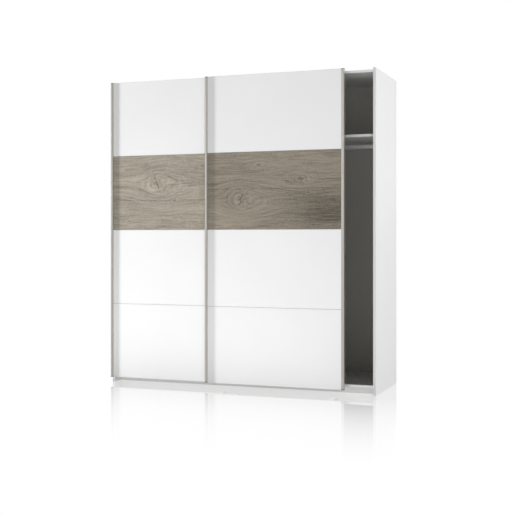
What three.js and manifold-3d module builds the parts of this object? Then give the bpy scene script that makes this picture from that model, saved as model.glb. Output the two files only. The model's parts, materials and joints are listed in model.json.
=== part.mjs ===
// Sliding door wardrobe with two hanging doors.
// Millimetres, +Z up, +X to the right seen from the front, front faces -Y.
// The origin is on the floor, at the centre of the overall width and depth.
import * as THREE from 'three';
import { mergeVertices } from 'three/addons/utils/BufferGeometryUtils.js';
import Module from 'manifold-3d';

const wasm = await Module();
wasm.setup();

// ---------------------------------------------------------------- driving dimensions
const WIDTH = 1800;             // over the outer faces of the two sides
const HEIGHT = 2000;            // floor to the top of the sides
const DEPTH = 646;              // front of the front door's edge profile to the back of the sides
const SIDE_DEPTH = 589;
const BOARD = 16;               // thickness of every melamine-faced board
const BACK_T = 3;               // thickness of the hardboard back panels

const DOOR_WIDTH = 921;
const DOOR_BOTTOM = 35;
const DOOR_TOP = 1995;
const RIGHT_DOOR_OPEN = 184;    // how far the right door stands open to the left at rest

const BOTTOM_BOARD_Z = 45;      // underside of the bottom board, and top of the plinth
const TOP_BOARD_Z = 1974;       // underside of the top board
const PLINTH_SETBACK = 84;      // plinth front behind the sides' front edges
const SHELF_TOP = 1604;
const SHELF_SETBACK = 80;
const RAIL_Z = 1546;            // centre of the hanging rail
const RAIL_SETBACK = 300;

const GAP = 0.3;                // clearance beside faces that are cut or that run on each other
const ROUND = 24;               // sides of a round piece

// ---------------------------------------------------------------- derived places
const BACK = DEPTH / 2;
const FRONT = BACK - SIDE_DEPTH;                // the sides' front edges
const OUTER = WIDTH / 2;
const INNER = OUTER - BOARD;                    // inner face of a side
const HALF_BOARD = BOARD / 2;
const TOP_BOARD_TOP = TOP_BOARD_Z + BOARD;
const BOTTOM_BOARD_TOP = BOTTOM_BOARD_Z + BOARD;
const BACK_INSET = 5;                           // back panels' front faces to the sides' rear edges
const BACK_PANEL_Y = BACK - BACK_INSET;

// The rear (left) door and the front (right) door run in two planes in front of the sides.
const DOOR_PLANES = {
  rear: { panelFront: FRONT - 22, groove: 0 },    // 6 mm clear of the sides' front edges
  front: { panelFront: FRONT - 51, groove: 1 },
};

// Track and guide rail: a low channel section with two grooves, one for each door.
const CHANNEL = {
  front: FRONT + 15,
  lip: 2,                       // outer lips
  groove: 16,                   // width of a groove
  rib: 3,                       // rib between the grooves
  floor: 3,
};
CHANNEL.depth = 2 * CHANNEL.lip + 2 * CHANNEL.groove + CHANNEL.rib;
CHANNEL.back = CHANNEL.front + CHANNEL.depth;
const grooveFront = (i) => CHANNEL.front + CHANNEL.lip + i * (CHANNEL.groove + CHANNEL.rib);

const ROLLER = { radius: 8, width: 8, bore: 2.3, chamfer: 1 };
const ROLLER_Z = TOP_BOARD_Z + CHANNEL.floor + ROLLER.radius;
// inset: bracket centre from the door's edge; plate: how far a plate reaches over the door's back.
const BRACKET = { width: 40, thickness: 2, inset: 90 };
const HANGER = { plate: 70, legOverBoard: 1.5, legOverDoor: 2, tabBelowAxle: 6, tabPlay: 2 };
const GUIDE = { plate: 60, legUnderBoard: 3, legUnderDoor: 2, tab: 6, tabPlay: 3 };

// ---------------------------------------------------------------- materials
const finish = (color, roughness, metalness = 0) =>
  new THREE.MeshStandardMaterial({ color, roughness, metalness });

const white = finish(0xeeeeee, 0.45);
const decor = finish(0xa1988a, 0.6);
const aluminium = finish(0xc2beb6, 0.35, 0.9);
const steel = finish(0xb4b6b8, 0.4, 0.9);
const chrome = finish(0xc9cbcc, 0.2, 1.0);
const nylon = finish(0xdcdcd8, 0.5);
const whitePlastic = finish(0xe2e2de, 0.45);
const greyPlastic = finish(0x8c8c8a, 0.5);
const backboard = finish(0xd8d6d0, 0.7);
const stripGrey = finish(0xbdbcb8, 0.5);

// ---------------------------------------------------------------- helpers
const named = (name, geometry, material) => {
  const mesh = new THREE.Mesh(geometry, material);
  mesh.name = name;
  return mesh;
};

/** A rectangular board given by its lowest and highest place on each axis. */
function board(name, x, y, z, material = white) {
  const size = [x, y, z].map(([low, high]) => high - low);
  const mesh = named(name, new THREE.BoxGeometry(...size), material);
  mesh.position.set(...[x, y, z].map(([low, high]) => (low + high) / 2));
  return mesh;
}

const shapeOf = (points) => new THREE.Shape(points.map(([u, v]) => new THREE.Vector2(u, v)));

/** Extrudes an outline drawn in (x, y) upwards along Z. */
const extrudeZ = (shape, height) =>
  new THREE.ExtrudeGeometry(shape, { depth: height, bevelEnabled: false, curveSegments: 8 });

/** Extrudes an outline drawn in (y, z) along X, from x = 0 to x = length. */
function extrudeX(shape, length) {
  const toYZ = new THREE.Matrix4().makeBasis(
    new THREE.Vector3(0, 1, 0), new THREE.Vector3(0, 0, 1), new THREE.Vector3(1, 0, 0));
  return extrudeZ(shape, length).applyMatrix4(toYZ);
}

/** A closed three.js geometry as a manifold solid, for joining and cutting. */
function solid(geometry) {
  const bare = geometry.clone();
  bare.deleteAttribute('normal');
  bare.deleteAttribute('uv');
  const merged = mergeVertices(bare, 1e-4);
  return new wasm.Manifold(new wasm.Mesh({
    numProp: 3,
    vertProperties: new Float32Array(merged.attributes.position.array),
    triVerts: new Uint32Array(merged.index.array),
  }));
}

function geometryOf(manifold) {
  const mesh = manifold.getMesh();
  const geometry = new THREE.BufferGeometry();
  geometry.setAttribute('position', new THREE.BufferAttribute(mesh.vertProperties, 3));
  geometry.setIndex(new THREE.BufferAttribute(mesh.triVerts, 1));
  geometry.computeVertexNormals();
  return geometry;
}

/** An upright oval (two half circles joined by straight sides), centred on the origin. */
function ovalShape(width, height) {
  const r = width / 2;
  const h = height / 2 - r;
  const shape = new THREE.Shape();
  shape.moveTo(r, -h);
  shape.lineTo(r, h);
  shape.absarc(0, h, r, 0, Math.PI, false);
  shape.lineTo(-r, -h);
  shape.absarc(0, -h, r, Math.PI, 2 * Math.PI, false);
  return shape;
}

// ---------------------------------------------------------------- carcass boards
function carcassBoards() {
  const between = [-INNER, INNER];
  const boardFront = CHANNEL.back;
  const plinthFront = FRONT + PLINTH_SETBACK;
  const plinthRear = BACK_PANEL_Y - BOARD;
  const standing = [BOTTOM_BOARD_TOP, TOP_BOARD_Z];
  const plinthZ = [0, BOTTOM_BOARD_Z];
  return [
    board('side_left', [-OUTER, -INNER], [FRONT, BACK], [0, HEIGHT]),
    board('side_right', [INNER, OUTER], [FRONT, BACK], [0, HEIGHT]),
    board('top_board', between, [boardFront, BACK_PANEL_Y], [TOP_BOARD_Z, TOP_BOARD_TOP]),
    board('bottom_board', between, [boardFront, BACK_PANEL_Y], [BOTTOM_BOARD_Z, BOTTOM_BOARD_TOP]),
    board('partition', [-HALF_BOARD, HALF_BOARD], [boardFront, BACK_PANEL_Y], standing),
    board('plinth_front', between, [plinthFront, plinthFront + BOARD], plinthZ),
    board('plinth_rear', between, [plinthRear, BACK_PANEL_Y], plinthZ),
    board('plinth_middle', [-HALF_BOARD, HALF_BOARD], [plinthFront + BOARD, plinthRear], plinthZ),
  ];
}

// ---------------------------------------------------------------- back
function backPanels() {
  const seam = 2;                               // half the gap between the two panels
  const flange = 9;                             // half the width of the strip behind them
  const strip = { web: seam - GAP, thickness: 1.5 };
  const y = [BACK_PANEL_Y, BACK_PANEL_Y + BACK_T];
  const z = [BOTTOM_BOARD_Z, TOP_BOARD_TOP];
  const behind = BACK_PANEL_Y + BACK_T;
  const tee = shapeOf([
    [-strip.web, BACK_PANEL_Y], [strip.web, BACK_PANEL_Y],
    [strip.web, behind], [flange, behind],
    [flange, behind + strip.thickness], [-flange, behind + strip.thickness],
    [-flange, behind], [-strip.web, behind],
  ]);
  const joint = named('back_joint_strip', extrudeZ(tee, z[1] - z[0]), whitePlastic);
  joint.position.z = z[0];
  return [
    board('back_panel_left', [-INNER, -seam], y, z, backboard),
    board('back_panel_right', [seam, INNER], y, z, backboard),
    joint,
  ];
}

// ---------------------------------------------------------------- shelves and hanging rails
const OVAL = { width: 15, height: 30, wall: 1.5 };
const SOCKET = { plate: 3, plateWidth: 28, plateHeight: 46, collar: 12, wall: 2 };

/** One socket: a flange plate on the board, and a collar that is open at the top. */
function railSocket(name, x, direction) {
  const fit = GAP;
  const outer = ovalShape(OVAL.width + 2 * (fit + SOCKET.wall), OVAL.height + 2 * (fit + SOCKET.wall));
  const inner = ovalShape(OVAL.width + 2 * fit, OVAL.height + 2 * fit);
  outer.holes.push(inner);
  const mouth = new THREE.BoxGeometry(SOCKET.collar * 2, OVAL.width + 2 * fit, OVAL.height);
  mouth.translate(SOCKET.plate + SOCKET.collar, 0, OVAL.height);
  const collar = extrudeX(outer, SOCKET.collar + SOCKET.plate);
  const plate = extrudeX(ovalShape(SOCKET.plateWidth, SOCKET.plateHeight), SOCKET.plate);
  const joined = solid(plate).add(solid(collar).subtract(solid(mouth)));
  const mesh = named(name, geometryOf(joined), chrome);
  mesh.position.set(x, FRONT + RAIL_SETBACK, RAIL_Z);
  if (direction < 0) mesh.rotation.z = Math.PI;
  return mesh;
}

function compartmentFittings() {
  const parts = [];
  const compartments = [
    { side: 'left', x: [-INNER, -HALF_BOARD], sockets: [1, 2] },
    { side: 'right', x: [HALF_BOARD, INNER], sockets: [3, 4] },
  ];
  for (const { side, x, sockets } of compartments) {
    parts.push(board(`hat_shelf_${side}`, x, [FRONT + SHELF_SETBACK, BACK_PANEL_Y],
      [SHELF_TOP - BOARD, SHELF_TOP]));
    const section = ovalShape(OVAL.width, OVAL.height);
    section.holes.push(ovalShape(OVAL.width - 2 * OVAL.wall, OVAL.height - 2 * OVAL.wall));
    const ends = x.map((place, i) => place + (i === 0 ? 1 : -1) * (SOCKET.plate + 2 * GAP));
    const rail = named(`hanging_rail_${side}`, extrudeX(section, ends[1] - ends[0]), chrome);
    rail.position.set(ends[0], FRONT + RAIL_SETBACK, RAIL_Z);
    parts.push(rail);
    parts.push(railSocket(`rail_support_${sockets[0]}`, x[0] + GAP, 1));
    parts.push(railSocket(`rail_support_${sockets[1]}`, x[1] - GAP, -1));
  }
  return parts;
}

// ---------------------------------------------------------------- track, guide rail and stops
/** Channel section with two grooves open upwards; flip = -1 turns the grooves downwards. */
function channelOutline(base, flip) {
  const top = base + flip * BOARD;
  const floor = base + flip * CHANNEL.floor;
  const points = [[CHANNEL.front, base], [CHANNEL.back, base], [CHANNEL.back, top]];
  for (const groove of [1, 0]) {
    const near = grooveFront(groove);
    const far = near + CHANNEL.groove;
    points.push([far, top], [far, floor], [near, floor], [near, top]);
  }
  points.push([CHANNEL.front, top]);
  return shapeOf(points);
}

function channel(name, base, flip) {
  const mesh = named(name, extrudeX(channelOutline(base, flip), 2 * INNER), aluminium);
  mesh.position.x = -INNER;
  return mesh;
}

/** Stops at both ends of both grooves: a door's edge stops level with the side's outer face. */
function trackStops() {
  const length = 20;
  const height = 12;
  // A stop meets the door's outer hanger, which is BRACKET.inset in from the door's edge.
  const near = OUTER - BRACKET.inset + BRACKET.width / 2 + 2 * GAP;
  const floor = TOP_BOARD_Z + CHANNEL.floor;
  return [0, 1].flatMap((groove) => [-1, 1].map((side, i) => {
    const x = [side * near, side * (near + length)].sort((a, b) => a - b);
    const front = grooveFront(groove);
    return board(`track_stop_${2 * groove + i + 1}`, x,
      [front + GAP, front + CHANNEL.groove - GAP], [floor, floor + height], greyPlastic);
  }));
}

// ---------------------------------------------------------------- door leaf
const PANEL_COUNT = 4;
const PANEL_NAMES = ['panel_top', 'panel_band', 'panel_lower', 'panel_bottom'];
const STRIP = { height: 2, recess: 1 };
const PROFILE = { width: 17, proud: 6, wall: 2, back: 1.5, lip: 1.5, cove: 2.5 };

/** Four stacked panels with thin joint strips between them, at local x from 0 to DOOR_WIDTH. */
function doorPanels(prefix, panelFront) {
  const usable = DOOR_TOP - DOOR_BOTTOM - (PANEL_COUNT - 1) * STRIP.height;
  const panelHeight = usable / PANEL_COUNT;
  const x = [PROFILE.wall + 0.5, DOOR_WIDTH - PROFILE.wall - 0.5];
  const y = [panelFront, panelFront + BOARD];
  return PANEL_NAMES.flatMap((name, i) => {
    const top = DOOR_TOP - i * (panelHeight + STRIP.height);
    const bottom = top - panelHeight;
    const panel = board(`${prefix}_${name}`, x, y, [bottom, top], name === 'panel_band' ? decor : white);
    if (i === PANEL_COUNT - 1) return [panel];
    const strip = board(`${prefix}_joint_strip_${i + 1}`, x, [y[0] + STRIP.recess, y[1] - STRIP.recess],
      [bottom - STRIP.height, bottom], stripGrey);
    return [panel, strip];
  });
}

/**
 * Edge profile: a U that wraps the panels' edge, with a proud grip on the front that is
 * hollowed into a shallow cove for the fingers.
 * The outline is drawn from the door's outer edge (u = 0) inwards, and mirrored for the other edge.
 */
function edgeProfile(name, edgeX, inward, panelFront) {
  const { width, proud, wall, back, lip, cove } = PROFILE;
  const inside = [panelFront - GAP, panelFront + BOARD + GAP];
  const front = panelFront - proud;
  const coveSteps = 8;
  const grip = Array.from({ length: coveSteps + 1 }, (_, i) => {
    const t = i / coveSteps;
    return [lip + (width - 2 * lip) * t, front + cove * 4 * t * (1 - t)];
  });
  const outline = [
    [0, front], ...grip, [width, front], [width, inside[0]],
    [wall, inside[0]], [wall, inside[1]], [width, inside[1]],
    [width, inside[1] + back], [0, inside[1] + back],
  ];
  const points = outline.map(([u, y]) => [edgeX + inward * u, y]);
  const mesh = named(name, extrudeZ(shapeOf(points), DOOR_TOP - DOOR_BOTTOM), aluminium);
  mesh.position.z = DOOR_BOTTOM;
  return mesh;
}

// ---------------------------------------------------------------- door fittings
/**
 * A bent strip on the back of the door: a plate, a level leg and a tab into the groove.
 * Plate and tab both point the same way from the leg, down for a hanger and up for a guide.
 */
function bentStrip({ plateY, plateEnd, legZ, tabY, tabThickness, tabEnd }) {
  const t = BRACKET.thickness;
  const outline = shapeOf([
    [plateY, plateEnd], [plateY + t, plateEnd], [plateY + t, legZ.inner], [tabY, legZ.inner],
    [tabY, tabEnd], [tabY + tabThickness, tabEnd], [tabY + tabThickness, legZ.outer],
    [plateY, legZ.outer],
  ]);
  return extrudeX(outline, BRACKET.width).translate(-BRACKET.width / 2, 0, 0);
}

/** Where the roller sits in its groove: its front face is just behind the hanger's tab. */
const tabFront = (groove) => grooveFront(groove) + HANGER.tabPlay;
const rollerFront = (groove) => tabFront(groove) + BRACKET.thickness + GAP;

function hanger(name, x, plane) {
  const plateY = plane.panelFront + BOARD + GAP;
  // The rear door's leg is low; the front door's leg passes over the rear door's top edge.
  const legInner = plane.groove === 0
    ? TOP_BOARD_TOP + HANGER.legOverBoard : DOOR_TOP + HANGER.legOverDoor;
  const t = BRACKET.thickness;
  const strip = bentStrip({
    plateY, plateEnd: DOOR_TOP - HANGER.plate, legZ: { inner: legInner, outer: legInner + t },
    tabY: tabFront(plane.groove), tabThickness: t, tabEnd: ROLLER_Z - HANGER.tabBelowAxle,
  });
  const pin = { radius: ROLLER.bore - GAP, head: 3.5, headLength: 1.2 };
  const shank = ROLLER.width + 3 * GAP;
  const axle = new THREE.CylinderGeometry(pin.radius, pin.radius, shank + t / 2, ROUND);
  axle.translate(0, tabFront(plane.groove) + t / 2 + (shank + t / 2) / 2, ROLLER_Z);
  const head = new THREE.CylinderGeometry(pin.head, pin.head, pin.headLength, ROUND);
  const headY = rollerFront(plane.groove) + ROLLER.width + GAP;
  head.translate(0, headY + pin.headLength / 2, ROLLER_Z);
  const joined = solid(strip).add(solid(axle)).add(solid(head));
  const mesh = named(name, geometryOf(joined), steel);
  mesh.position.x = x;
  return mesh;
}

/** The roller turns about Y on the hanger's axle. */
function roller(name, x, plane) {
  const { radius, width, bore, chamfer } = ROLLER;
  const profile = [
    [bore, 0], [radius - chamfer, 0], [radius, chamfer], [radius, width - chamfer],
    [radius - chamfer, width], [bore, width], [bore, 0],
  ].map(([r, y]) => new THREE.Vector2(r, y));
  const mesh = named(name, new THREE.LatheGeometry(profile, ROUND), nylon);
  mesh.position.set(x, rollerFront(plane.groove), ROLLER_Z);
  return mesh;
}

/** Moulded guide under the door: its leg passes below, and its tab rides in the guide rail. */
function guide(name, x, plane) {
  const t = BRACKET.thickness;
  const legInner = plane.groove === 0
    ? BOTTOM_BOARD_Z - GUIDE.legUnderBoard : DOOR_BOTTOM - GUIDE.legUnderDoor;
  const strip = bentStrip({
    plateY: plane.panelFront + BOARD + GAP, plateEnd: DOOR_BOTTOM + GUIDE.plate,
    legZ: { inner: legInner, outer: legInner - t },
    tabY: grooveFront(plane.groove) + (CHANNEL.groove - GUIDE.tab) / 2, tabThickness: GUIDE.tab,
    tabEnd: BOTTOM_BOARD_TOP - CHANNEL.floor - GUIDE.tabPlay,
  });
  const mesh = named(name, strip, whitePlastic);
  mesh.position.x = x;
  return mesh;
}

function door(prefix, leftEdge, plane) {
  const group = new THREE.Group();
  group.position.x = leftEdge;
  group.add(...doorPanels(prefix, plane.panelFront));
  group.add(edgeProfile(`${prefix}_edge_profile_left`, 0, 1, plane.panelFront));
  group.add(edgeProfile(`${prefix}_edge_profile_right`, DOOR_WIDTH, -1, plane.panelFront));
  [BRACKET.inset, DOOR_WIDTH - BRACKET.inset].forEach((x, i) => {
    group.add(hanger(`${prefix}_hanger_${i + 1}`, x, plane));
    group.add(roller(`${prefix}_roller_${i + 1}`, x, plane));
    group.add(guide(`${prefix}_guide_${i + 1}`, x, plane));
  });
  return group;
}

// ---------------------------------------------------------------- assembly
const wardrobe = new THREE.Group();
const carcass = new THREE.Group();
carcass.add(...carcassBoards(), ...backPanels(), ...compartmentFittings());
carcass.add(channel('top_track', TOP_BOARD_Z, 1));
carcass.add(channel('bottom_guide_rail', BOTTOM_BOARD_TOP, -1));
carcass.add(...trackStops());
wardrobe.add(carcass);
wardrobe.add(door('left_door', -OUTER, DOOR_PLANES.rear));
wardrobe.add(door('right_door', OUTER - DOOR_WIDTH - RIGHT_DOOR_OPEN, DOOR_PLANES.front));

export default wardrobe;
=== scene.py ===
"""Sliding door wardrobe: the looks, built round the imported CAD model. Metres, +Z up, front faces -Y."""
import json
import math

import bmesh
import bpy
from mathutils import Matrix, Vector

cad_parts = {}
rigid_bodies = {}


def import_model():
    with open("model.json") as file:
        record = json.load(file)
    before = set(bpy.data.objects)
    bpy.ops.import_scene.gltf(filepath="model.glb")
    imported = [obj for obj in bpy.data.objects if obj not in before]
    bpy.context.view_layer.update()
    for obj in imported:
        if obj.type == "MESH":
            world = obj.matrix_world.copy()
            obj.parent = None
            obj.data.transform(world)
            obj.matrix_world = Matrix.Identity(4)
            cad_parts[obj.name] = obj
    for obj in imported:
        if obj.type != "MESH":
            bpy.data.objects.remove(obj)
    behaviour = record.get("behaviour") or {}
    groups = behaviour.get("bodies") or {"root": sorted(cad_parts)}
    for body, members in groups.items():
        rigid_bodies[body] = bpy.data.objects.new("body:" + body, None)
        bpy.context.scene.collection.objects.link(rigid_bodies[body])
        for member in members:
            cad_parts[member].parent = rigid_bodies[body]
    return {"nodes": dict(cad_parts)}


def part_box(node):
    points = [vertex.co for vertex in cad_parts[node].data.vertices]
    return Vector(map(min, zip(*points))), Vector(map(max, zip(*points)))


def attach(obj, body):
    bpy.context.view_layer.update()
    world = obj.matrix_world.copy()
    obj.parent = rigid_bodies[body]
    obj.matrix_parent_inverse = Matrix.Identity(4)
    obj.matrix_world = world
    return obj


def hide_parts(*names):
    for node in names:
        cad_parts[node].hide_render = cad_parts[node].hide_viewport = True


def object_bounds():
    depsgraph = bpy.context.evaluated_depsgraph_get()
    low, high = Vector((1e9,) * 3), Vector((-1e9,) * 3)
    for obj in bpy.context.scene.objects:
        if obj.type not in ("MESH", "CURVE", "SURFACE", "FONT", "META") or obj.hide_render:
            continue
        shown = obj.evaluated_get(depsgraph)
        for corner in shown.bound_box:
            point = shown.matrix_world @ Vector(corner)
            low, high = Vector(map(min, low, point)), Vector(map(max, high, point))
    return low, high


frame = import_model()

CAD_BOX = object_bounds()
MM = 0.001

# ------------------------------------------------------------------------------ places from the frame
DOORS = ("left_door", "right_door")
SIDE_LOW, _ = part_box("side_right")
SIDES_FRONT = SIDE_LOW.y
SEAM = 0.1 * MM                 # hairline between a board and its edge band
BAND = 1.0 * MM                 # thickness of an edge band


def door_depth(door):
    """(panel front, panel back) of a door, along Y."""
    low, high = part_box(f"{door}_panel_top")
    return low.y, high.y


# ------------------------------------------------------------------------------ camera
def make_camera():
    """The photograph's viewing angle: level, at eye height, from the right of the wardrobe."""
    data = bpy.data.cameras.new("camera")
    data.sensor_width = 36.0
    data.lens = 68.94
    data.shift_y = -0.0383
    camera = bpy.data.objects.new("camera", data)
    camera.location = (2.2998, SIDES_FRONT - 5.8688, 0.9628)
    camera.rotation_euler = (math.radians(90), 0, math.radians(20.249))
    bpy.context.collection.objects.link(camera)
    bpy.context.scene.camera = camera


# ------------------------------------------------------------------------------ material tools
class Tree:
    """A material's node tree, with short calls for the nodes used here."""

    def __init__(self, name, **sockets):
        self.material = bpy.data.materials.new(name)
        self.material.use_nodes = True
        self.nodes = self.material.node_tree.nodes
        self.shader = self.nodes["Principled BSDF"]
        for socket, value in sockets.items():
            self.shader.inputs[socket.replace("_", " ")].default_value = value
        self.object_space = self.nodes.new("ShaderNodeTexCoord").outputs["Object"]

    def put(self, node, socket, value):
        """Links an output to a socket, or sets the socket's value."""
        if isinstance(value, bpy.types.NodeSocket):
            self.material.node_tree.links.new(value, node.inputs[socket])
        elif value is not None:
            node.inputs[socket].default_value = value

    def math(self, operation, a, b=None, c=None, clamp=False):
        node = self.nodes.new("ShaderNodeMath")
        node.operation = operation
        node.use_clamp = clamp
        for socket, value in enumerate((a, b, c)):
            self.put(node, socket, value)
        return node.outputs[0]

    def stretch(self, scale, offset=(0, 0, 0), vector=None):
        """Object space, moved by offset and then scaled."""
        moved = self.nodes.new("ShaderNodeVectorMath")
        moved.operation = "SUBTRACT"
        self.put(moved, 0, self.object_space if vector is None else vector)
        moved.inputs[1].default_value = offset
        scaled = self.nodes.new("ShaderNodeVectorMath")
        scaled.operation = "MULTIPLY"
        self.put(scaled, 0, moved.outputs[0])
        scaled.inputs[1].default_value = scale
        return scaled.outputs[0]

    def noise(self, vector, scale=1.0, detail=3.0, roughness=0.5, distortion=0.0):
        node = self.nodes.new("ShaderNodeTexNoise")
        self.put(node, "Vector", vector)
        for socket, value in (("Scale", scale), ("Detail", detail), ("Roughness", roughness),
                              ("Distortion", distortion)):
            node.inputs[socket].default_value = value
        return node.outputs["Fac"]

    def span(self, value, from_low, from_high, to_low=0.0, to_high=1.0, smooth=False):
        """Maps a value from one range to another, and holds it there."""
        node = self.nodes.new("ShaderNodeMapRange")
        node.interpolation_type = "SMOOTHSTEP" if smooth else "LINEAR"
        for socket, number in enumerate((value, from_low, from_high, to_low, to_high)):
            self.put(node, socket, number)
        return node.outputs[0]

    def ramp(self, value, stops):
        node = self.nodes.new("ShaderNodeValToRGB")
        self.put(node, "Fac", value)
        elements = node.color_ramp.elements
        while len(elements) < len(stops):
            elements.new(0.5)
        for element, (position, color) in zip(elements, stops):
            element.position = position
            element.color = (*color, 1.0)
        return node.outputs["Color"]

    def separate(self, vector):
        node = self.nodes.new("ShaderNodeSeparateXYZ")
        self.put(node, 0, vector)
        return node.outputs

    def join(self, x=0.0, y=0.0, z=0.0):
        node = self.nodes.new("ShaderNodeCombineXYZ")
        for socket, value in enumerate((x, y, z)):
            self.put(node, socket, value)
        return node.outputs[0]

    def bump(self, height, strength, distance):
        node = self.nodes.new("ShaderNodeBump")
        node.inputs["Strength"].default_value = strength
        node.inputs["Distance"].default_value = distance
        self.put(node, "Height", height)
        self.put(self.shader, "Normal", node.outputs[0])

    def color(self, value):
        self.put(self.shader, "Base Color", value)

    def roughness(self, value):
        self.put(self.shader, "Roughness", value)


def shade(color, factor):
    return tuple(min(1.0, channel * factor) for channel in color)


# ------------------------------------------------------------------------------ materials
def melamine(name, color, gloss=0.36):
    """Melamine-faced board: a fine pearl grain in the surface, and the faintest cloudiness."""
    tree = Tree(name, Specular_IOR_Level=0.45)
    cloud = tree.noise(tree.object_space, scale=2.6, detail=4)
    tree.color(tree.ramp(cloud, [(0.3, shade(color, 0.985)), (0.7, shade(color, 1.01))]))
    pearl = tree.noise(tree.object_space, scale=620.0, detail=2)
    tree.roughness(tree.span(pearl, 0.3, 0.7, gloss - 0.04, gloss + 0.06))
    tree.bump(pearl, 0.10, 0.12 * MM)
    return tree.material


def anodised(name, color, along, roughness=0.34, metallic=0.85):
    """Satin anodised aluminium, drawn along one axis: "x" or "z"."""
    tree = Tree(name, Metallic=metallic, Specular_IOR_Level=0.5)
    fine, slow = 900.0, 3.0
    scale = (slow, fine, fine) if along == "x" else (fine, fine, slow)
    lines = tree.noise(tree.stretch(scale), detail=3, roughness=0.6)
    cloud = tree.noise(tree.object_space, scale=5.0, detail=3)
    tone = tree.math("MULTIPLY_ADD", cloud, 0.35, tree.math("MULTIPLY", lines, 0.65))
    tree.color(tree.ramp(tone, [(0.3, shade(color, 0.93)), (0.7, shade(color, 1.05))]))
    tree.roughness(tree.span(lines, 0.3, 0.7, roughness - 0.05, roughness + 0.07))
    tree.bump(lines, 0.08, 0.05 * MM)
    return tree.material


def moulded(name, color, roughness=0.45):
    """Moulded plastic with a fine spark-eroded grain."""
    tree = Tree(name, Specular_IOR_Level=0.45)
    grain = tree.noise(tree.object_space, scale=1400.0, detail=2)
    cloud = tree.noise(tree.object_space, scale=30.0, detail=3)
    tree.color(tree.ramp(cloud, [(0.3, shade(color, 0.94)), (0.7, shade(color, 1.05))]))
    tree.roughness(tree.span(grain, 0.3, 0.7, roughness - 0.05, roughness + 0.08))
    tree.bump(grain, 0.12, 0.08 * MM)
    return tree.material


def plated_steel(name, color, roughness=0.3, metallic=0.95):
    """Plated steel: cloudy plating with faint rolling lines along X."""
    tree = Tree(name, Metallic=metallic)
    cloud = tree.noise(tree.object_space, scale=60.0, detail=5, roughness=0.65)
    lines = tree.noise(tree.stretch((8.0, 1200.0, 1200.0)), detail=2)
    tone = tree.math("MULTIPLY_ADD", lines, 0.4, tree.math("MULTIPLY", cloud, 0.6))
    tree.color(tree.ramp(tone, [(0.3, shade(color, 0.88)), (0.7, shade(color, 1.06))]))
    tree.roughness(tree.span(tone, 0.3, 0.7, roughness - 0.06, roughness + 0.1))
    tree.bump(lines, 0.06, 0.04 * MM)
    return tree.material


def hardboard(name, front, rear, middle_y):
    """Thin hardboard: printed face towards the inside, bare brown fibre on the back."""
    tree = Tree(name, Specular_IOR_Level=0.3)
    y = tree.separate(tree.object_space)[1]
    is_rear = tree.math("GREATER_THAN", y, middle_y)
    fibre = tree.noise(tree.stretch((260.0, 1.0, 260.0)), detail=5, roughness=0.7, distortion=0.6)
    bare = tree.ramp(fibre, [(0.25, shade(rear, 0.72)), (0.5, rear), (0.75, shade(rear, 1.25))])
    printed = tree.ramp(fibre, [(0.3, shade(front, 0.97)), (0.7, shade(front, 1.02))])
    mix = tree.nodes.new("ShaderNodeMix")
    mix.data_type = "RGBA"
    tree.put(mix, 0, is_rear)
    tree.put(mix, 6, printed)
    tree.put(mix, 7, bare)
    tree.color(mix.outputs[2])
    tree.roughness(tree.span(is_rear, 0, 1, 0.5, 0.85))
    tree.bump(fibre, 0.15, 0.1 * MM)
    return tree.material


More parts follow.
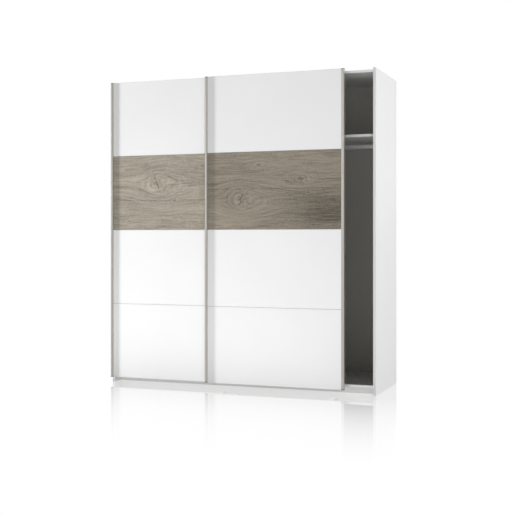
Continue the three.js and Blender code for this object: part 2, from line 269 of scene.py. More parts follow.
def wood_decor(name, node, base, planks, knots, cracks, shades):
    """
    Driftwood oak decor. u runs along the panel and v up it, both in metres from its lower left corner.
    planks: heights of the joints between the printed boards.
    knots: (u, v, half width, half height, rings, strength, heart).
    cracks: (u, v, half length, lean, strength).
    shades: (u, v, radius u, radius v, amount).
    """
    low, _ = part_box(node)
    tree = Tree(name, Specular_IOR_Level=0.35)
    place = tree.stretch((1, 1, 1), offset=(low.x, 0, low.z))
    u, _, v = tree.separate(place)

    def reach(centre_u, centre_v, radius_u, radius_v):
        """Distance from a centre, in radii."""
        du = tree.math("DIVIDE", tree.math("SUBTRACT", u, centre_u), radius_u)
        dv = tree.math("DIVIDE", tree.math("SUBTRACT", v, centre_v), radius_v)
        return tree.math("SQRT", tree.math("ADD", tree.math("MULTIPLY", du, du),
                                           tree.math("MULTIPLY", dv, dv)))

    # The grain wanders, and it bulges round every knot.
    slow = tree.noise(tree.join(tree.math("MULTIPLY", u, 2.6), 0.0,
                                tree.math("MULTIPLY", v, 6.0)), detail=3)
    wander = tree.math("SUBTRACT", slow, 0.5)
    bent_v = tree.math("MULTIPLY_ADD", wander, 0.045, v)
    around = []
    for centre_u, centre_v, half_w, half_h, *_ in knots:
        distance = reach(centre_u, centre_v, half_w, half_h)
        around.append(distance)
        bulge = tree.span(distance, 0.3, 2.2, 1.0, 0.0, smooth=True)
        lift = tree.math("MULTIPLY", tree.math("SUBTRACT", v, centre_v), -0.55)
        bent_v = tree.math("MULTIPLY_ADD", bulge, lift, bent_v)

    # Each printed board gets its own offset, so that its fibres don't run on into the next one.
    board = 0.0
    joint = 0.0
    for height in planks:
        edge = tree.math("MULTIPLY_ADD", wander, 0.004, v)
        board = tree.math("ADD", tree.math("GREATER_THAN", edge, height), board)
        gap = tree.math("ABSOLUTE", tree.math("SUBTRACT", edge, height))
        joint = tree.math("MAXIMUM", tree.span(gap, 0.0, 0.0040, 1.0, 0.0, smooth=True), joint)
    lane = tree.math("MULTIPLY", board, 3.7)

    def streaks(along, across, detail=4.0, roughness=0.6, distortion=0.0):
        vector = tree.join(tree.math("MULTIPLY", u, along), lane, tree.math("MULTIPLY", bent_v, across))
        return tree.noise(vector, detail=detail, roughness=roughness, distortion=distortion)

    # From broad bands to hair-thin lines, and then pores: (noise, weight).
    layers = ((streaks(1.4, 18.0, distortion=0.4), 0.55),
              (streaks(4.0, 75.0), 0.65),
              (streaks(9.0, 210.0, detail=3.0), 1.00),
              (streaks(30.0, 640.0, detail=2.0), 0.60),
              (tree.noise(place, scale=95.0, detail=5.0, roughness=0.8), 0.80))
    tone = 0.0
    for layer, weight in layers:
        tone = tree.math("MULTIPLY_ADD", tree.math("SUBTRACT", layer, 0.5), weight, tone)
    pores = tree.span(streaks(22.0, 520.0, detail=1.0), 0.58, 0.70)
    veins = tree.span(streaks(3.0, 130.0, detail=2.0), 0.60, 0.72)
    tone = tree.math("MULTIPLY_ADD", pores, -0.13, tone)
    tone = tree.math("MULTIPLY_ADD", veins, -0.10, tone)
    tone = tree.math("MULTIPLY_ADD", joint, -0.24, tone)

    for distance, (centre_u, _, _, _, rings, strength, heart) in zip(around, knots):
        ripple = tree.noise(tree.join(tree.math("MULTIPLY", u, 26.0), centre_u * 40.0,
                                      tree.math("MULTIPLY", v, 26.0)), detail=4)
        warped = tree.math("MULTIPLY_ADD", tree.math("SUBTRACT", ripple, 0.5), 0.75, distance)
        ring = tree.math("SINE", tree.math("MULTIPLY", warped, rings * 2 * math.pi))
        fade = tree.span(warped, 0.25, 1.5, 1.0, 0.0, smooth=True)
        core = tree.span(warped, 0.0, 0.45, 1.0, 0.0, smooth=True)
        mark = tree.math("MULTIPLY", tree.math("MULTIPLY", ring, fade), 0.055)
        mark = tree.math("MULTIPLY_ADD", core, heart, mark)
        tone = tree.math("MULTIPLY_ADD", mark, -strength, tone)

    for centre_u, centre_v, half, lean, strength in cracks:
        dv = tree.math("SUBTRACT", v, centre_v)
        wave = tree.noise(tree.join(centre_u, 0.0, tree.math("MULTIPLY", v, 45.0)))
        waver = tree.math("SUBTRACT", wave, 0.5)
        line = tree.math("MULTIPLY_ADD", dv, lean, tree.math("SUBTRACT", u, centre_u))
        line = tree.math("ABSOLUTE", tree.math("MULTIPLY_ADD", waver, 0.03, line))
        thin = tree.span(line, 0.0010, 0.0060, 1.0, 0.0, smooth=True)
        length = tree.span(tree.math("ABSOLUTE", dv), half * 0.4, half, 1.0, 0.0, smooth=True)
        tone = tree.math("MULTIPLY_ADD", tree.math("MULTIPLY", thin, length), -strength, tone)

    for centre_u, centre_v, radius_u, radius_v, amount in shades:
        distance = reach(centre_u, centre_v, radius_u, radius_v)
        tone = tree.math("MULTIPLY_ADD", tree.span(distance, 0.0, 1.0, 1.0, 0.0, smooth=True), amount, tone)

    level = tree.math("ADD", tone, 0.5)
    tree.color(tree.ramp(level, [(0.0, shade(base, 0.36)), (0.30, shade(base, 0.76)),
                                 (0.52, base), (0.82, shade(base, 1.36))]))
    tree.roughness(tree.span(level, 0.2, 0.8, 0.62, 0.48))
    tree.bump(tree.math("MULTIPLY_ADD", pores, -0.6, layers[2][0]), 0.25, 0.15 * MM)
    return tree.material


# ------------------------------------------------------------------------------ mesh tools
def finish_piece(name, bm, material, body, replaces=(), smooth=35):
    """Turns a bmesh into a piece that rides on a body, and that may stand for CAD nodes."""
    bmesh.ops.recalc_face_normals(bm, faces=bm.faces)
    mesh = bpy.data.meshes.new(name)
    bm.to_mesh(mesh)
    bm.free()
    mesh.polygons.foreach_set("use_smooth", [True] * len(mesh.polygons))
    mesh.set_sharp_from_angle(angle=math.radians(smooth))
    mesh.materials.append(material)
    piece = bpy.data.objects.new(name, mesh)
    bpy.context.collection.objects.link(piece)
    # Large faces keep flat normals, and only the rounded edges turn.
    weighted = piece.modifiers.new("weighted_normal", "WEIGHTED_NORMAL")
    weighted.keep_sharp = True
    weighted.weight = 100
    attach(piece, body)
    if replaces:
        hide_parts(*replaces)
    return piece


def add_box(bm, low, high, round_edge, segments=2):
    """A box with rounded edges."""
    made = bmesh.ops.create_cube(bm, size=1.0)["verts"]
    size = Vector(high) - Vector(low)
    middle = (Vector(high) + Vector(low)) / 2
    for vert in made:
        vert.co = Vector(c * s for c, s in zip(vert.co, size)) + middle
    edges = {edge for vert in made for edge in vert.link_edges}
    bmesh.ops.bevel(bm, geom=list(edges), offset=round_edge, segments=segments, profile=0.5,
                    affect="EDGES", clamp_overlap=True)


def rounded(points, radii, steps=4):
    """An outline with its corners rounded. radii: one radius for all the corners, or one for each."""
    radii = [radii] * len(points) if isinstance(radii, (int, float)) else radii
    result = []
    for i, (point, radius) in enumerate(zip(points, radii)):
        corner = Vector(point)
        before = Vector(points[i - 1]) - corner
        after = Vector(points[(i + 1) % len(points)]) - corner
        turn = before.angle(after)
        if radius <= 0 or turn > math.radians(179):
            result.append(tuple(corner))
            continue
        cut = min(radius / math.tan(turn / 2), before.length * 0.49, after.length * 0.49)
        start = corner + before.normalized() * cut
        end = corner + after.normalized() * cut
        for step in range(steps + 1):
            t = step / steps
            # A quadratic curve through the cut points, pulled towards the corner.
            result.append(tuple(start * (1 - t) ** 2 + corner * 2 * t * (1 - t) + end * t ** 2))
    return result


AXES = {
    "x": lambda a, b, t: (t, a, b),       # outline in (y, z)
    "z": lambda a, b, t: (a, b, t),       # outline in (x, y)
}


def add_extrusion(bm, outline, axis, low, high, end_round=0.0, hole=None):
    """
    Extrudes an outline along an axis from low to high, with its end edges rounded.
    hole: an inner outline.
    """
    place = AXES[axis]
    rings = []
    for points in filter(None, (outline, hole)):
        ends = [[bm.verts.new(place(a, b, t)) for a, b in points] for t in (low, high)]
        rings.append(ends)
        count = len(points)
        for i in range(count):
            j = (i + 1) % count
            bm.faces.new((ends[0][i], ends[0][j], ends[1][j], ends[1][i]))
    end_edges = []
    for side in (0, 1):
        if hole is None:
            face = bm.faces.new(rings[0][side])
            end_edges += face.edges
        else:
            loops = []
            for ends in rings:
                ring = ends[side]
                loops += [bm.edges.get((ring[i], ring[(i + 1) % len(ring)])) for i in range(len(ring))]
            bmesh.ops.triangle_fill(bm, edges=loops, use_beauty=True)
            end_edges += loops
    if end_round > 0:
        bmesh.ops.bevel(bm, geom=end_edges, offset=end_round, segments=2, profile=0.5, affect="EDGES",
                        clamp_overlap=True)


def add_lathe(bm, profile, matrix, segments=32):
    """Turns a profile of (radius, height) about the matrix's Z axis. A radius of 0 closes on the axis."""
    closed = profile[0] == profile[-1]
    points = profile[:-1] if closed else profile
    turns = [2 * math.pi * k / segments for k in range(segments)]
    circle = [(math.cos(turn), math.sin(turn)) for turn in turns]
    rings = []
    for radius, height in points:
        if radius == 0:
            rings.append([bm.verts.new(matrix @ Vector((0, 0, height)))])
            continue
        rings.append([bm.verts.new(matrix @ Vector((radius * x, radius * y, height))) for x, y in circle])
    pairs = list(zip(rings, rings[1:])) + ([(rings[-1], rings[0])] if closed else [])
    for one, two in pairs:
        for k in range(segments):
            n = (k + 1) % segments
            corners = [one[k % len(one)], one[n % len(one)], two[n % len(two)], two[k % len(two)]]
            unique = list(dict.fromkeys(corners))
            if len(unique) > 2:
                bm.faces.new(unique)


FACING = {
    "+y": Matrix.Rotation(-math.pi / 2, 4, "X"),
    "-y": Matrix.Rotation(math.pi / 2, 4, "X"),
    "+x": Matrix.Rotation(math.pi / 2, 4, "Y"),
    "-x": Matrix.Rotation(-math.pi / 2, 4, "Y"),
    "+z": Matrix.Identity(4),
}


def at(point, facing):
    """A matrix whose Z axis faces the given way, at a point."""
    return Matrix.Translation(point) @ FACING[facing]


# ------------------------------------------------------------------------------ boards
def banded_board(node, body, material, bands, round_edge=0.6 * MM, edging=None):
    """
    A board as a core with edge bands on the named sides, such as "-y", a hairline apart.
    edging: a material for the bands, which are then a piece of their own.
    """
    low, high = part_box(node)
    core = [list(low), list(high)]
    bm = bmesh.new()
    strips = bmesh.new() if edging else bm
    for side in bands:
        axis = "xyz".index(side[1])
        end = 0 if side[0] == "-" else 1
        outward = -1 if side[0] == "-" else 1
        face = core[end][axis]
        core[end][axis] = face - outward * (BAND + SEAM)
        strip = [list(low), list(high)]
        strip[end][axis] = face
        strip[1 - end][axis] = face - outward * BAND
        # Bands on neighbouring sides meet without overlapping.
        for other in range(3):
            if other != axis:
                strip[0][other] = core[0][other]
                strip[1][other] = core[1][other]
        add_box(strips, strip[0], strip[1], BAND * 0.45)
    add_box(bm, core[0], core[1], round_edge)
    finish_piece(f"{node}_board", bm, material, body, replaces=[node])
    if edging:
        finish_piece(f"{node}_edging", strips, edging, body)


# ------------------------------------------------------------------------------ door profiles
CAP = 5 * MM                    # height of the profile's end caps
NOSE = 2.5 * MM                 # radius of the grip's outer corner


def profile_outline(node, edge_x, inward, panel_front, panel_back):
    """
    The edge profile's section: a U round the panel's edge, with a proud grip hollowed into a cove.
    The grip turns the outer corner in a quarter round.
    """
    low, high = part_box(node)
    width = high.x - low.x
    front, back = low.y, high.y
    slot_front, slot_back = panel_front - 0.3 * MM, panel_back + 0.3 * MM
    wall, lip, cove, steps = 2 * MM, 1.6 * MM, 2.4 * MM, 12
    turns = [math.pi / 2 * i / 6 for i in range(7)]
    nose = [(NOSE * (1 - math.cos(turn)), front + NOSE * (1 - math.sin(turn))) for turn in turns]
    grip = [(NOSE + (width - NOSE - lip) * t, front + cove * math.sin(math.pi * t) ** 0.8)
            for t in (i / steps for i in range(1, steps + 1))]
    curve = [*nose, *grip]
    points = [*curve, (width, front), (width, slot_front), (wall, slot_front), (wall, slot_back),
              (width, slot_back), (width, back), (0, back)]
    radii = [*[0] * len(curve), 0.8 * MM, 0.3 * MM, 0, 0, 0.2 * MM, 0.4 * MM, 0.8 * MM]
    return [(edge_x + inward * u, y) for u, y in rounded(points, radii)]


def cap_outline(node, edge_x, inward):
    low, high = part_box(node)
    width = high.x - low.x
    points = [(0, low.y), (width, low.y), (width, high.y), (0, high.y)]
    return [(edge_x + inward * u, y) for u, y in rounded(points, 1.0 * MM)]


def edge_profile(door, side, material, cap_material):
    node = f"{door}_edge_profile_{side}"
    low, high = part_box(node)
    edge_x, inward = (low.x, 1) if side == "left" else (high.x, -1)
    panel_front, panel_back = door_depth(door)
    bm = bmesh.new()
    outline = profile_outline(node, edge_x, inward, panel_front, panel_back)
    add_extrusion(bm, outline, "z", low.z + CAP, high.z - CAP)
    finish_piece(f"{node}_extrusion", bm, material, door, replaces=[node], smooth=30)
    for place, bottom in (("top", high.z - CAP), ("bottom", low.z)):
        bm = bmesh.new()
        add_extrusion(bm, cap_outline(node, edge_x, inward), "z", bottom, bottom + CAP, end_round=0.4 * MM)
        finish_piece(f"{node}_cap_{place}", bm, cap_material, door)


# ------------------------------------------------------------------------------ screws
def screw_head(bm, point, facing, radius=3.8 * MM, height=2.2 * MM):
    """A pan head with a cross recess: the domed top is cut by four arms down to a small flat floor."""
    profile = [(0, -0.4 * MM), (radius * 0.96, -0.4 * MM), (radius, 0.0), (radius, height * 0.35),
               (radius * 0.93, height * 0.62), (radius * 0.76, height * 0.85), (radius * 0.52, height)]
    matrix = at(point, facing)
    segments = 32
    rings = []
    for r, h in profile[1:]:
        rings.append([bm.verts.new(matrix @ Vector((r * math.cos(a), r * math.sin(a), h)))
                      for a in (2 * math.pi * k / segments for k in range(segments))])
    base = bm.verts.new(matrix @ Vector((0, 0, profile[0][1])))
    for k in range(segments):
        n = (k + 1) % segments
        bm.faces.new((base, rings[0][n], rings[0][k]))
        for one, two in zip(rings, rings[1:]):
            bm.faces.new((one[k], one[n], two[n], two[k]))
    # The recess: a cross-shaped rim in the head's flat top, with walls down to a small floor.
    arm, half = radius * 0.46, radius * 0.11
    cross = [(half, half), (half, arm), (-half, arm), (-half, half), (-arm, half), (-arm, -half),
             (-half, -half), (-half, -arm), (half, -arm), (half, -half), (arm, -half), (arm, half)]
    rim = [bm.verts.new(matrix @ Vector((x, y, height))) for x, y in cross]
    floor = [bm.verts.new(matrix @ Vector((x * 0.7, y * 0.7, height * 0.35))) for x, y in cross]
    for k in range(len(cross)):
        n = (k + 1) % len(cross)
        bm.faces.new((rim[k], rim[n], floor[n], floor[k]))
    bm.faces.new(floor)
    top = rings[-1]
    edges = [bm.edges.get((top[k], top[(k + 1) % segments])) for k in range(segments)]
    edges += [bm.edges.get((rim[k], rim[(k + 1) % len(cross)])) for k in range(len(cross))]
    bmesh.ops.triangle_fill(bm, edges=edges, use_beauty=True)


# ------------------------------------------------------------------------------ door fittings
SHEET = 2 * MM                  # thickness of hangers and guides
GUIDE_TAB = 6 * MM              # thickness of the tab that runs in the guide rail
AXLE = 2 * MM                   # radius of a roller's axle
RIVET = 3.5 * MM                # radius of the axle's head


def hanger(door, number, material, screw_material):
    """
    Bent steel strip with its riveted axle, held to the back of the door by four screws.
    Its leg passes over the top board's edge or the rear door's, and its tab reaches down into the track.
    """
    node = f"{door}_hanger_{number}"
    low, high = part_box(node)
    roller_low, roller_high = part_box(f"{door}_roller_{number}")
    middle = (low.x + high.x) / 2
    tab_back = roller_low.y - 0.3 * MM
    axle_z = (roller_low.z + roller_high.z) / 2
    leg_top, leg_under = high.z, high.z - SHEET
    plate_y = low.y
    points = [(plate_y, low.z), (plate_y + SHEET, low.z), (plate_y + SHEET, leg_under),
              (tab_back - SHEET, leg_under), (tab_back - SHEET, axle_z - 6 * MM),
              (tab_back, axle_z - 6 * MM), (tab_back, leg_top), (plate_y, leg_top)]
    tip, inner, outer = 0.4 * MM, 1.0 * MM, 3.0 * MM
    bm = bmesh.new()
    add_extrusion(bm, rounded(points, [tip, tip, inner, inner, tip, tip, outer, outer]), "x",
                  low.x, high.x, end_round=0.35 * MM)
    axle_length = roller_high.y - roller_low.y
    axle = [(0, -0.5 * MM), (AXLE, -0.5 * MM), (AXLE, axle_length + 0.6 * MM),
            (RIVET, axle_length + 0.6 * MM), (RIVET, axle_length + 1.2 * MM),
            (RIVET - 0.9 * MM, axle_length + 1.8 * MM), (0, axle_length + 1.8 * MM)]
    add_lathe(bm, axle, at((middle, tab_back, axle_z), "+y"))
    finish_piece(f"{node}_strip", bm, material, door, replaces=[node])
    bm = bmesh.new()
    for dx in (-12 * MM, 12 * MM):
        for z in (low.z + 12 * MM, low.z + 40 * MM):
            screw_head(bm, (middle + dx, plate_y + SHEET, z), "+y")
    finish_piece(f"{node}_screws", bm, screw_material, door)


def roller(door, number, material):
    """Nylon roller: crowned tread, dished faces and a raised hub round the bore."""
    node = f"{door}_roller_{number}"
    low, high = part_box(node)
    radius, width = (high.z - low.z) / 2, high.y - low.y
    bore, hub, dish = 2.3 * MM, 3.6 * MM, 0.8 * MM
    half = [(bore, 0.2 * MM), (bore + 0.2 * MM, 0), (hub, 0), (hub + 0.3 * MM, dish),
            (radius - 2.2 * MM, dish), (radius - 1.8 * MM, 0.1 * MM), (radius - 0.8 * MM, 0),
            (radius - 0.2 * MM, 0.5 * MM), (radius, 1.6 * MM)]
    other = [(r, width - y) for r, y in reversed(half)]
    bm = bmesh.new()
    centre = ((low.x + high.x) / 2, low.y, (low.z + high.z) / 2)
    add_lathe(bm, [*half, *other, half[0]], at(centre, "+y"), segments=48)
    finish_piece(f"{node}_wheel", bm, material, f"{door}_roller_{number}", replaces=[node])


def guide(door, number, material, screw_material):
    """Moulded guide: a plate, a level leg under the door and a rounded tab in the rail."""
    node = f"{door}_guide_{number}"
    low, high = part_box(node)
    plate_y, tab = low.y, GUIDE_TAB
    leg_under, leg_top = low.z, low.z + SHEET
    tab_back = high.y
    tab_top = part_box("bottom_guide_rail")[1].z - 6 * MM
    points = [(plate_y, high.z), (plate_y + SHEET, high.z), (plate_y + SHEET, leg_top),
              (tab_back - tab, leg_top), (tab_back - tab, tab_top), (tab_back, tab_top),
              (tab_back, leg_under), (plate_y, leg_under)]
    bm = bmesh.new()
    add_extrusion(bm, rounded(points, [0.5 * MM, 0.5 * MM, 1 * MM, 1 * MM, 2.4 * MM, 2.4 * MM,
                                       1.2 * MM, 1.2 * MM]), "x", low.x, high.x, end_round=0.4 * MM)
    finish_piece(f"{node}_moulding", bm, material, door, replaces=[node])
    middle = (low.x + high.x) / 2
    bm = bmesh.new()
    for dx in (-11 * MM, 11 * MM):
        screw_head(bm, (middle + dx, plate_y + SHEET, high.z - 14 * MM), "+y")
    finish_piece(f"{node}_screws", bm, screw_material, door)


# ------------------------------------------------------------------------------ rails and sockets
def oval(width, height, centre, steps=16):
    """An upright oval in (y, z): half circles above and below straight sides."""
    r = width / 2
    straight = height / 2 - r
    upper = [(r * math.cos(a), straight + r * math.sin(a)) for a in
             (math.pi * i / steps for i in range(steps + 1))]
    lower = [(r * math.cos(a), -straight + r * math.sin(a)) for a in
             (math.pi * (1 + i / steps) for i in range(steps + 1))]
    return [(centre[0] + y, centre[1] + z) for y, z in upper + lower]


def hanging_rail(side, material):
    node = f"hanging_rail_{side}"
    low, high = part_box(node)
    width, height, wall = high.y - low.y, high.z - low.z, 1.5 * MM
    centre = ((low.y + high.y) / 2, (low.z + high.z) / 2)
    bm = bmesh.new()
    add_extrusion(bm, oval(width, height, centre), "x", low.x, high.x,
                  hole=oval(width - 2 * wall, height - 2 * wall, centre))
    finish_piece(f"{node}_tube", bm, material, "carcass", replaces=[node])


def rail_socket(number, material):
    """Die-cast socket: an oval flange, and a collar open at the top."""
    node = f"rail_support_{number}"
    low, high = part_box(node)
    on_left_wall = number % 2 == 1
    plate, collar_width, collar_height, wall = 3 * MM, 19.6 * MM, 34.6 * MM, 2 * MM
    centre = ((low.y + high.y) / 2, (low.z + high.z) / 2)
    spans = ((low.x, low.x + plate), (low.x + plate, high.x))
    if not on_left_wall:
        spans = ((high.x - plate, high.x), (low.x, high.x - plate))
    bm = bmesh.new()
    add_extrusion(bm, oval(high.y - low.y, high.z - low.z, centre), "x", *spans[0], end_round=0.7 * MM)
    steps, top = 20, 7.5 * MM
    outer_r, inner_r = collar_width / 2, collar_width / 2 - wall
    drop = collar_height / 2 - outer_r
    arc = [math.pi * (1 + i / steps) for i in range(steps + 1)]
    outer = [(outer_r * math.cos(a), -drop + outer_r * math.sin(a)) for a in arc]
    inner = [(inner_r * math.cos(a), -drop + inner_r * math.sin(a)) for a in reversed(arc)]
    u_shape = [(-outer_r, top), *outer, (outer_r, top), (inner_r, top), *inner, (-inner_r, top)]
    add_extrusion(bm, [(centre[0] + y, centre[1] + z) for y, z in u_shape], "x", *spans[1])
    finish_piece(f"{node}_casting", bm, material, "carcass", replaces=[node])


# ------------------------------------------------------------------------------ track, stops, back
def channel(node, material, flip):
    """The double-groove extrusion, with its lips rounded. flip is -1 where the grooves face down."""
    low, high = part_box(node)
    lip, groove, rib, floor = 2 * MM, 16 * MM, 3 * MM, 3 * MM
    base, top = (low.z, high.z) if flip > 0 else (high.z, low.z)
    bed = base + flip * floor
    ys = [low.y + lip, low.y + lip + groove, low.y + lip + groove + rib, low.y + lip + 2 * groove + rib]
    points = [(low.y, base), (high.y, base), (high.y, top), (ys[3], top), (ys[3], bed), (ys[2], bed),
              (ys[2], top), (ys[1], top), (ys[1], bed), (ys[0], bed), (ys[0], top), (low.y, top)]
    radii = [0.5 * MM, 0.3 * MM, 0.7 * MM, 0.7 * MM, 0.8 * MM, 0.8 * MM, 0.7 * MM, 0.7 * MM, 0.8 * MM,
             0.8 * MM, 0.7 * MM, 0.7 * MM]
    bm = bmesh.new()
    add_extrusion(bm, rounded(points, radii, steps=3), "x", low.x, high.x)
    finish_piece(f"{node}_extrusion", bm, material, "carcass", replaces=[node],
                 smooth=30)


def track_stop(number, material):
    node = f"track_stop_{number}"
    low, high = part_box(node)
    bm = bmesh.new()
    add_box(bm, low, high, 1.0 * MM, segments=3)
    finish_piece(f"{node}_block", bm, material, "carcass", replaces=[node])


def back_nails(material):
    """Small nails hold the back panels to the boards and to each other's joint."""
    panel_low, panel_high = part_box("back_panel_left")
    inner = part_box("side_right")[0].x
    margin, pitch = 8 * MM, 0.16
    head = [(0, 0), (1.6 * MM, 0), (1.6 * MM, 0.3 * MM), (1.1 * MM, 0.6 * MM), (0, 0.7 * MM)]
    steps = round(2 * inner / pitch)
    shelf_low, shelf_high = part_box("hat_shelf_left")
    heights = (panel_low.z + margin, panel_high.z - margin, (shelf_low.z + shelf_high.z) / 2)
    rows = [(-inner + margin + (2 * inner - 2 * margin) * i / steps, z)
            for z in heights for i in range(steps + 1)]
    bm = bmesh.new()
    clear = 12 * MM                   # the joint strip covers the middle
    for x, z in rows:
        if abs(x) > clear:
            add_lathe(bm, head, at((x, panel_high.y, z), "+y"), segments=12)
    finish_piece("back_panel_nails", bm, material, "carcass")


# ------------------------------------------------------------------------------ the wardrobe
# Pieces that the light in front of the right side doesn't reach.
INSIDE = ("back_panel", "partition_board", "hat_shelf_left_board", "hat_shelf_right_board",
          "top_board_board", "bottom_board_board")
FLOOR_GLOSS = 0.55               # share of mirror reflection in the floor, next to the wardrobe


def build_wardrobe():
    side_white = melamine("side_white", (0.82, 0.82, 0.825))
    # Painted shade: the inner boards are the same white melamine as the sides, but get a darker, warmer
    # colour that stands in for the shade inside; their edge bands keep the true white.
    carcass_white = melamine("carcass_white", (0.76, 0.755, 0.735), gloss=0.42)
    edging = melamine("carcass_edging", (0.82, 0.82, 0.815), gloss=0.42)
    door_white = melamine("door_white", (0.82, 0.82, 0.822), gloss=0.30)
    seam = moulded("seam_grey", (0.46, 0.46, 0.455))
    profile = anodised("profile_aluminium", (0.46, 0.44, 0.40), "z", metallic=0.6)
    track = anodised("track_aluminium", (0.80, 0.80, 0.79), "x", metallic=0.35)
    grey = moulded("grey_plastic", (0.22, 0.22, 0.22))
    plastic = moulded("white_plastic", (0.75, 0.75, 0.74))
    nylon = moulded("roller_nylon", (0.72, 0.71, 0.67))
    zinc = plated_steel("zinc_steel", (0.58, 0.58, 0.57), roughness=0.38)
    nickel = plated_steel("satin_nickel", (0.62, 0.61, 0.59), roughness=0.36, metallic=0.6)

    banded_board("side_left", "carcass", side_white, ("-y", "+z"))
    banded_board("side_right", "carcass", side_white, ("-y", "+z"))
    for node in ("top_board", "bottom_board", "partition", "hat_shelf_left", "hat_shelf_right"):
        banded_board(node, "carcass", carcass_white, ("-y",), edging=edging)
    for node in ("plinth_front", "plinth_middle", "plinth_rear"):
        banded_board(node, "carcass", edging, ())

    rear_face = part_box("back_panel_left")
    middle_y = (rear_face[0].y + rear_face[1].y) / 2
    backing = hardboard("back_hardboard", (0.66, 0.65, 0.61), (0.26, 0.17, 0.10), middle_y)
    for side in ("left", "right"):
        banded_board(f"back_panel_{side}", "carcass", backing, (), round_edge=0.3 * MM)
    strip = frame["nodes"]["back_joint_strip"]
    strip.data.materials[0] = plastic
    back_nails(zinc)

    channel("top_track", track, 1)
    channel("bottom_guide_rail", track, -1)
    for number in range(1, 5):
        track_stop(number, grey)
        rail_socket(number, nickel)
    for side in ("left", "right"):
        hanging_rail(side, nickel)

    bands = {
        "left_door": wood_decor(
            "wood_decor_left", "left_door_panel_band", (0.325, 0.293, 0.240),
            planks=(0.193,),
            knots=[
                (0.330, 0.305, 0.090, 0.070, 2.6, 1.9, 0.02),
                (0.410, 0.305, 0.170, 0.105, 3.5, 1.5, -0.02),
                (0.467, 0.190, 0.026, 0.016, 1.0, 1.2, 0.30),
                (0.230, 0.105, 0.034, 0.020, 1.6, 1.0, 0.10),
                (0.135, 0.058, 0.020, 0.012, 1.2, 1.0, 0.22),
                (0.345, 0.058, 0.026, 0.014, 1.4, 1.0, 0.14),
                (0.12, 0.39, 0.030, 0.014, 1.4, 1.0, 0.10),
            ],
            cracks=[(0.335, 0.305, 0.062, 0.42, 0.34)],
            shades=[(0.92, 0.28, 0.45, 0.22, -0.17), (0.10, 0.30, 0.40, 0.20, 0.05),
                    (0.80, 0.135, 0.42, 0.020, 0.14), (0.85, 0.03, 0.45, 0.05, -0.12)]),
        "right_door": wood_decor(
            "wood_decor_right", "right_door_panel_band", (0.240, 0.211, 0.166),
            planks=(0.255,),
            knots=[
                (0.225, 0.192, 0.090, 0.072, 2.6, 1.9, 0.03),
                (0.290, 0.195, 0.150, 0.085, 3.5, 1.5, -0.02),
                (0.365, 0.405, 0.055, 0.022, 1.4, 1.4, 0.24),
                (0.640, 0.312, 0.080, 0.044, 2.4, 1.6, 0.12),
                (0.680, 0.298, 0.026, 0.016, 1.0, 1.2, 0.32),
                (0.690, 0.227, 0.022, 0.014, 1.0, 1.2, 0.28),
                (0.56, 0.30, 0.024, 0.014, 1.2, 1.0, 0.12),
            ],
            cracks=[(0.245, 0.192, 0.060, -0.40, 0.36)],
            shades=[(0.82, 0.12, 0.46, 0.21, -0.42), (0.10, 0.07, 0.36, 0.16, 0.16),
                    (0.62, 0.40, 0.50, 0.10, 0.08)]),
    }
    for door in DOORS:
        for panel in ("panel_top", "panel_lower", "panel_bottom"):
            banded_board(f"{door}_{panel}", door, door_white, ("-z", "+z"))
        banded_board(f"{door}_panel_band", door, bands[door], ("-z", "+z"))
        for number in (1, 2, 3):
            banded_board(f"{door}_joint_strip_{number}", door, seam, (), round_edge=0.2 * MM)
        for side in ("left", "right"):
            edge_profile(door, side, profile, grey)
        for number in (1, 2):
            hanger(door, number, zinc, zinc)
            roller(door, number, nylon)
            guide(door, number, plastic, zinc)


# ------------------------------------------------------------------------------ floor and light
def make_floor():
    """Bright, glossy studio floor. Its mirror image fades out in front of the wardrobe."""
    bpy.ops.mesh.primitive_plane_add(size=60, location=(0, 0, 0))
    floor = bpy.context.object
    floor.name = "floor"
    tree = Tree("floor")
    nodes, links = tree.nodes, tree.material.node_tree.links
    x, y, _ = tree.separate(tree.object_space)
    in_front = tree.span(y, CAD_BOX[0].y - 1.9, CAD_BOX[0].y, 0.0, 1.0)
    behind = tree.span(y, CAD_BOX[1].y, CAD_BOX[1].y + 0.6, 1.0, 0.0)
    beside = tree.span(tree.math("ABSOLUTE", x), CAD_BOX[1].x + 0.3, CAD_BOX[1].x + 1.6, 1.0, 0.0)
    fade = tree.math("MULTIPLY", tree.math("MULTIPLY", in_front, in_front),
                     tree.math("MULTIPLY", behind, beside))
    weight = tree.math("MULTIPLY", fade, FLOOR_GLOSS)
    glow = nodes.new("ShaderNodeEmission")
    glow.inputs["Strength"].default_value = 1.0
    gloss = nodes.new("ShaderNodeBsdfGlossy")
    gloss.inputs["Roughness"].default_value = 0.03
    gloss.inputs["Color"].default_value = (1, 1, 1, 1)
    mix = nodes.new("ShaderNodeMixShader")
    links.new(weight, mix.inputs[0])
    links.new(glow.outputs[0], mix.inputs[1])
    links.new(gloss.outputs[0], mix.inputs[2])
    output = nodes["Material Output"]
    links.new(mix.outputs[0], output.inputs["Surface"])
    nodes.remove(tree.shader)
    floor.data.materials.append(tree.material)


def area_light(name, location, target, size, power, in_gloss=True, spread=180):
    data = bpy.data.lights.new(name, "AREA")
    data.shape = "RECTANGLE"
    data.size, data.size_y = size
    data.energy = power
    data.spread = math.radians(spread)
    light = bpy.data.objects.new(name, data)
    light.location = location
    direction = Vector(target) - Vector(location)
    light.rotation_euler = direction.to_track_quat("-Z", "Y").to_euler()
    light.visible_camera = False
    light.visible_glossy = in_gloss
    bpy.context.collection.objects.link(light)
    return light


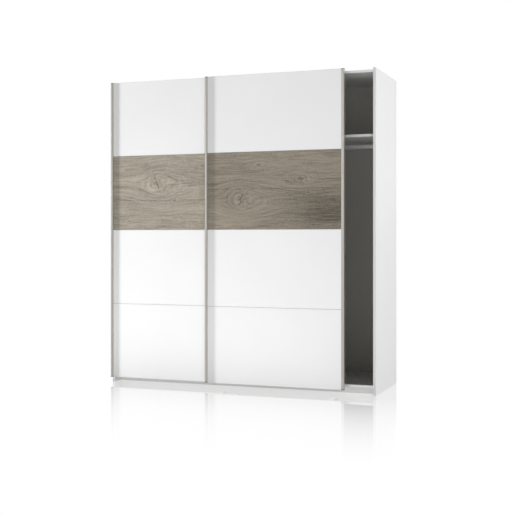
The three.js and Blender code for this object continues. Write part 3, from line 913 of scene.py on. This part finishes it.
def make_light():
    """White surroundings in reflections, and soft lights low in front, beside and behind."""
    world = bpy.data.worlds.new("world")
    bpy.context.scene.world = world
    world.use_nodes = True
    nodes, links = world.node_tree.nodes, world.node_tree.links
    background = nodes["Background"]
    path = nodes.new("ShaderNodeLightPath")
    seen = nodes.new("ShaderNodeMath")
    seen.operation = "MAXIMUM"
    links.new(path.outputs["Is Camera Ray"], seen.inputs[0])
    links.new(path.outputs["Is Glossy Ray"], seen.inputs[1])
    strength = nodes.new("ShaderNodeMapRange")
    links.new(seen.outputs[0], strength.inputs[0])
    strength.inputs[3].default_value = 0.03
    strength.inputs[4].default_value = 1.0
    links.new(strength.outputs[0], background.inputs["Strength"])
    background.inputs["Color"].default_value = (1, 1, 1, 1)

    # A distant upright strip rakes along the doors: it draws the thin shadows beside the profiles.
    front = door_depth("left_door")[0]
    key = area_light("key_strip", (-9.0, front - 1.0, 1.0), (-0.036, front, 1.0), (0.45, 1.6), 400,
                     in_gloss=False, spread=80)
    panels = bpy.data.collections.new("lit_by_the_key")
    for piece in bpy.data.objects:
        if "door_panel" in piece.name or "joint_strip" in piece.name:
            panels.objects.link(piece)
    key.light_linking.receiver_collection = panels

    area_light("bounce", (-0.5, -1.0, 0.02), (-0.5, -1.0, 1.0), (2.4, 0.8), 5.2, in_gloss=False)
    area_light("low_front", (-1.0, -4.5, 0.25), (-0.6, -0.3, 0.3), (3.0, 0.4), 18, in_gloss=False)
    # The light in front of the right side stays off the boards inside, which are deep in shade.
    right_front = area_light("right_front", (3.0, -5.5, 1.9), (0.4, -0.3, 1.0), (1.6, 1.6), 48)
    outside = bpy.data.collections.new("lit_from_the_right_front")
    for piece in bpy.data.objects:
        if piece.type == "MESH" and not piece.name.startswith(INSIDE):
            outside.objects.link(piece)
    right_front.light_linking.receiver_collection = outside
    for side, end in (("right", 1), ("left", -1)):
        area_light(f"beside_{side}", (3.4 * end, -0.27, 1.3), (0.9 * end, -0.27, 1.15), (0.5, 2.4), 27,
                   in_gloss=False)
        area_light(f"above_{side}", (3.2 * end, 0.2, 3.6), (0.9 * end, 0.0, 1.6), (1.4, 1.4), 4)
    area_light("overhead", (0.0, 0.05, 4.5), (0.0, 0.05, 2.0), (1.6, 0.4), 50, in_gloss=False)
    area_light("behind", (0.0, 5.0, 2.2), (0.0, 0.3, 1.0), (2.4, 2.0), 110)
    bpy.context.scene.view_settings.view_transform = "Standard"


make_camera()
build_wardrobe()
make_floor()
make_light()
